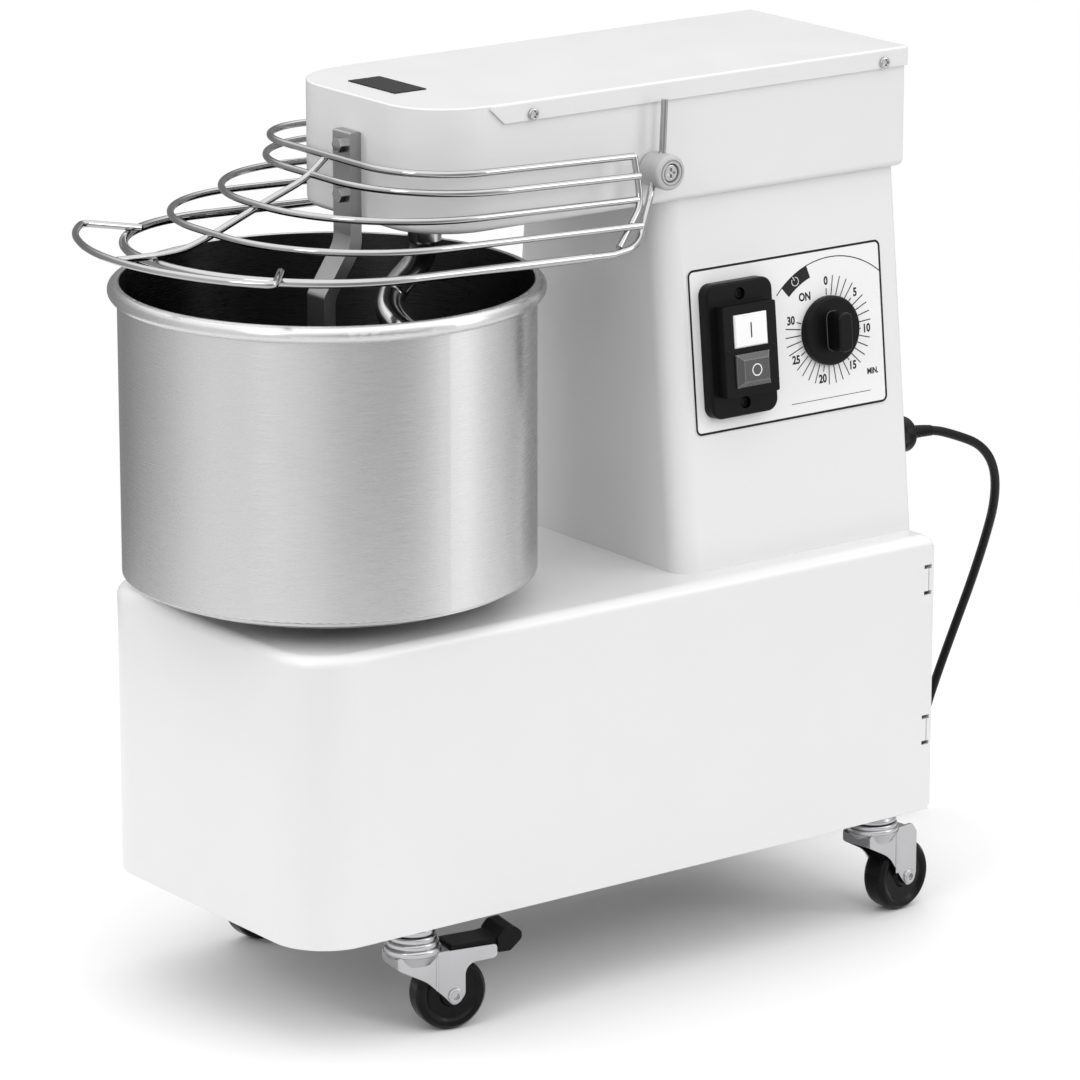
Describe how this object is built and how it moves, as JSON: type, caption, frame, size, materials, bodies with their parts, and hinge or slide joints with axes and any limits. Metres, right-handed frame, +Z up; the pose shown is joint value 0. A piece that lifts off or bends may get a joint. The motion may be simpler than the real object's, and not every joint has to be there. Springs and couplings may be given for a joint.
{
  "type": "spiral dough mixer",
  "caption": "Small electric spiral dough mixer on castors: turning bowl, spiral hook and breaker bar under a fixed head, lifting wire guard, switch and timer on the column.",
  "frame": {"origin": "on the floor, at the middle of the machine's footprint", "axes": "+Z up, -Y towards the front where the bowl is, +X to the side that carries the switch and the timer"},
  "size_m": [0.3297, 0.8098, 0.6528],
  "materials": {
    "white_powder_coat": "glossy white powder coat",
    "stainless": "brushed stainless steel",
    "polished_steel": "polished or ground steel",
    "bright_wire": "chrome plated wire",
    "zinc_plate": "bright zinc plated steel",
    "black_rubber": "solid black rubber or nylon",
    "black_plastic": "matt black plastic",
    "grey_plastic": "matt grey plastic",
    "white_plastic": "gloss white plastic",
    "dark_plastic": "dark gloss plastic",
    "overlay_film": "printed plastic plate",
    "dark_label": "dark printed plate",
    "cast_iron": "painted cast iron",
    "cast_aluminium": "as-cast aluminium",
    "cord_jacket": "black cord jacket"
  },
  "bodies": {
    "frame": {"base_bottom_plate": "zinc_plate", "base_frame_plate": "zinc_plate", "base_rear_cover": "white_powder_coat", "base_shell": "white_powder_coat", "bowl_bearing_housing": "cast_iron", "bowl_chain": "polished_steel", "breaker_bar": "stainless", "breaker_bar_bolts": "zinc_plate", "cable_gland": "black_plastic", "castor_caps": "zinc_plate", "castor_nuts": "zinc_plate", "column_back_panel": "white_powder_coat", "column_shell": "white_powder_coat", "control_overlay": "overlay_film", "cord_coil": "cord_jacket", "cover_screws": "zinc_plate", "drive_belt": "black_rubber", "flange_bearings": "cast_iron", "gear_motor": "cast_aluminium", "guard_pivot_screws": "zinc_plate", "head_bearing_plate": "zinc_plate", "head_chain": "polished_steel", "head_lid": "white_powder_coat", "head_shell": "white_powder_coat", "mains_plug": "cord_jacket", "motor_plate": "zinc_plate", "name_plate_blank": "dark_label", "power_cord": "cord_jacket", "spiral_bearing_housing": "cast_iron", "switch_housing": "black_plastic", "switch_screws": "zinc_plate", "timer_body": "black_plastic", "turning_arrow_plate": "dark_label"},
    "bowl_turning": {"bowl": "stainless", "bowl_shaft": "polished_steel", "bowl_sprocket": "polished_steel"},
    "lay_shaft_turning": {"lay_shaft": "polished_steel", "lay_shaft_sprockets": "polished_steel", "lay_shaft_pulley": "cast_iron"},
    "spiral_turning": {"spiral_hook": "stainless", "spiral_sprocket": "polished_steel"},
    "motor_turning": {"motor_shaft": "polished_steel", "motor_pulley": "cast_iron"},
    "guard": {"guard_wire_frame": "bright_wire", "guard_hubs": "grey_plastic"},
    "start_key": {"start_button": "white_plastic"},
    "stop_key": {"stop_button": "dark_plastic"},
    "timer_dial": {"timer_knob": "black_plastic"},
    "castor_fork_fr_turning": {"castor_fork_fr": "zinc_plate"},
    "castor_wheel_fr_turning": {"castor_wheel_fr": "black_rubber"},
    "castor_fork_fl_turning": {"castor_fork_fl": "zinc_plate"},
    "castor_wheel_fl_turning": {"castor_wheel_fl": "black_rubber"},
    "castor_fork_rr_turning": {"castor_fork_rr": "zinc_plate"},
    "castor_wheel_rr_turning": {"castor_wheel_rr": "black_rubber"},
    "castor_fork_rl_turning": {"castor_fork_rl": "zinc_plate"},
    "castor_wheel_rl_turning": {"castor_wheel_rl": "black_rubber"},
    "castor_brake_fr_pedal": {"castor_pedal_fr": "black_plastic"},
    "castor_brake_fl_pedal": {"castor_pedal_fl": "black_plastic"}
  },
  "joints": [
    {"name": "bowl_spin", "type": "hinge", "parent": "frame", "child": "bowl_turning", "pos_m": [0, -0.1426, 0.3], "axis": [0, 0, 1], "continuous": true},
    {"name": "lay_shaft_spin", "type": "hinge", "parent": "frame", "child": "lay_shaft_turning", "pos_m": [0, 0.1294, 0.4], "axis": [0, 0, 1], "continuous": true},
    {"name": "spiral_spin", "type": "hinge", "parent": "frame", "child": "spiral_turning", "pos_m": [0, -0.0586, 0.6], "axis": [0, 0, 1], "continuous": true},
    {"name": "motor_spin", "type": "hinge", "parent": "frame", "child": "motor_turning", "pos_m": [0, 0.2314, 0.3], "axis": [0, 0, 1], "continuous": true},
    {"name": "guard_lift", "type": "hinge", "parent": "frame", "child": "guard", "pos_m": [0, 0.0744, 0.5905], "axis": [-1, 0, 0], "range_deg": [0, 90]},
    {"name": "start_press", "type": "slide", "parent": "frame", "child": "start_key", "axis": [-0.9946, 0, -0.1042], "range_m": [0, 0.004], "stiffness_N_per_m": 150, "springref_m": -0.002},
    {"name": "stop_press", "type": "slide", "parent": "frame", "child": "stop_key", "axis": [-0.9946, 0, -0.1042], "range_m": [0, 0.004], "stiffness_N_per_m": 150, "springref_m": -0.002},
    {"name": "timer_turn", "type": "hinge", "parent": "frame", "child": "timer_dial", "pos_m": [0.0958, 0.2329, 0.4513], "axis": [0.9946, 0, 0.1042], "range_deg": [-294, 31]},
    {"name": "castor_swivel_fr", "type": "hinge", "parent": "frame", "child": "castor_fork_fr_turning", "pos_m": [0.116, -0.1552, 0.07], "axis": [0, 0, 1], "continuous": true},
    {"name": "castor_roll_fr", "type": "hinge", "parent": "castor_fork_fr_turning", "child": "castor_wheel_fr_turning", "pos_m": [0.12092, -0.12865, 0.027], "axis": [0.9833, -0.1822, 0], "continuous": true},
    {"name": "castor_brake_fr", "type": "hinge", "parent": "castor_fork_fr_turning", "child": "castor_brake_fr_pedal", "pos_m": [0.12402, -0.11194, 0.0565], "axis": [0.9833, -0.1822, 0], "range_deg": [-8, 0]},
    {"name": "castor_swivel_fl", "type": "hinge", "parent": "frame", "child": "castor_fork_fl_turning", "pos_m": [-0.116, -0.1552, 0.07], "axis": [0, 0, 1], "continuous": true},
    {"name": "castor_roll_fl", "type": "hinge", "parent": "castor_fork_fl_turning", "child": "castor_wheel_fl_turning", "pos_m": [-0.11788, -0.12827, 0.027], "axis": [0.9976, 0.0698, 0], "continuous": true},
    {"name": "castor_brake_fl", "type": "hinge", "parent": "castor_fork_fl_turning", "child": "castor_brake_fl_pedal", "pos_m": [-0.11907, -0.11131, 0.0565], "axis": [0.9976, 0.0698, 0], "range_deg": [-8, 0]},
    {"name": "castor_swivel_rr", "type": "hinge", "parent": "frame", "child": "castor_fork_rr_turning", "pos_m": [0.116, 0.266, 0.07], "axis": [0, 0, 1], "continuous": true},
    {"name": "castor_roll_rr", "type": "hinge", "parent": "castor_fork_rr_turning", "child": "castor_wheel_rr_turning", "pos_m": [0.11206, 0.29271, 0.027], "axis": [0.9893, 0.1461, 0], "continuous": true},
    {"name": "castor_swivel_rl", "type": "hinge", "parent": "frame", "child": "castor_fork_rl_turning", "pos_m": [-0.116, 0.266, 0.07], "axis": [0, 0, 1], "continuous": true},
    {"name": "castor_roll_rl", "type": "hinge", "parent": "castor_fork_rl_turning", "child": "castor_wheel_rl_turning", "pos_m": [-0.11318, 0.29285, 0.027], "axis": [0.9945, -0.1045, 0], "continuous": true}
  ],
  "couplings": [
    {"joint": "lay_shaft_spin", "follows": "bowl_spin", "ratio": 5},
    {"joint": "spiral_spin", "follows": "bowl_spin", "ratio": 3.75},
    {"joint": "motor_spin", "follows": "bowl_spin", "ratio": 10.396}
  ]
}
